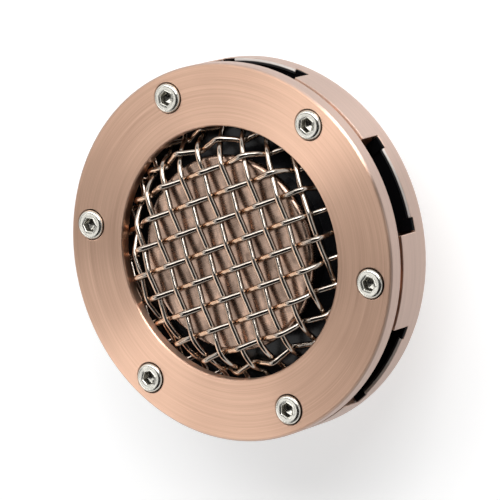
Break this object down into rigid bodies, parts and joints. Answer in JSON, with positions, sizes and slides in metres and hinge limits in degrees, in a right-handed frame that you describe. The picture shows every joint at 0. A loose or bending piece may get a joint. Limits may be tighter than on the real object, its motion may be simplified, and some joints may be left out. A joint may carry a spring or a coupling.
{
  "type": "fuel tank cap",
  "caption": "Round screw-in fuel tank cap of a motorcycle with a woven wire mesh dome over a copper-coloured disc, a screwed front ring, grip slots and a vent valve.",
  "frame": {"origin": "centre of the open end of the neck, on the cap axis", "axes": "+Z along the cap axis, from the neck towards the mesh; +X points between two lands, 6 degrees from the middle of a slot"},
  "size_m": [0.09, 0.09, 0.0381],
  "materials": {
    "copper_finish": "brushed antique copper colour over metal",
    "stainless": "satin",
    "wire": "dark satin wire with a copper tint",
    "black_gloss": "gloss",
    "black_plastic": "satin",
    "rubber": "matte",
    "brass": "machined",
    "spring_wire": "drawn wire"
  },
  "bodies": {
    "cap": {"front_ring": "copper_finish", "ring_screws": "stainless", "mesh_grille": "wire", "centre_disc": "copper_finish", "disc_nut": "stainless", "disc_washer": "stainless", "liner": "black_gloss", "rear_housing": "copper_finish", "neck_plug": "black_plastic", "neck_screws": "stainless", "neck_gasket": "rubber", "spigot_seal": "rubber", "splash_baffle": "black_plastic", "relief_spring": "spring_wire", "spring_bridge": "black_plastic"},
    "relief_valve": {"relief_plate": "brass", "relief_seal": "rubber", "vacuum_spring": "spring_wire"},
    "vacuum_valve": {"vacuum_poppet": "black_plastic", "poppet_clip": "stainless"}
  },
  "joints": [
    {"name": "relief_slide", "type": "slide", "parent": "cap", "child": "relief_valve", "axis": [0, 0, 1], "range_m": [0, 0.0015], "stiffness_N_per_m": 400, "springref_m": -0.003, "deforming": ["relief_spring"]},
    {"name": "vacuum_slide", "type": "slide", "parent": "relief_valve", "child": "vacuum_valve", "axis": [0, 0, -1], "range_m": [0, 0.001], "stiffness_N_per_m": 60, "springref_m": -0.002, "deforming": ["vacuum_spring"]}
  ]
}
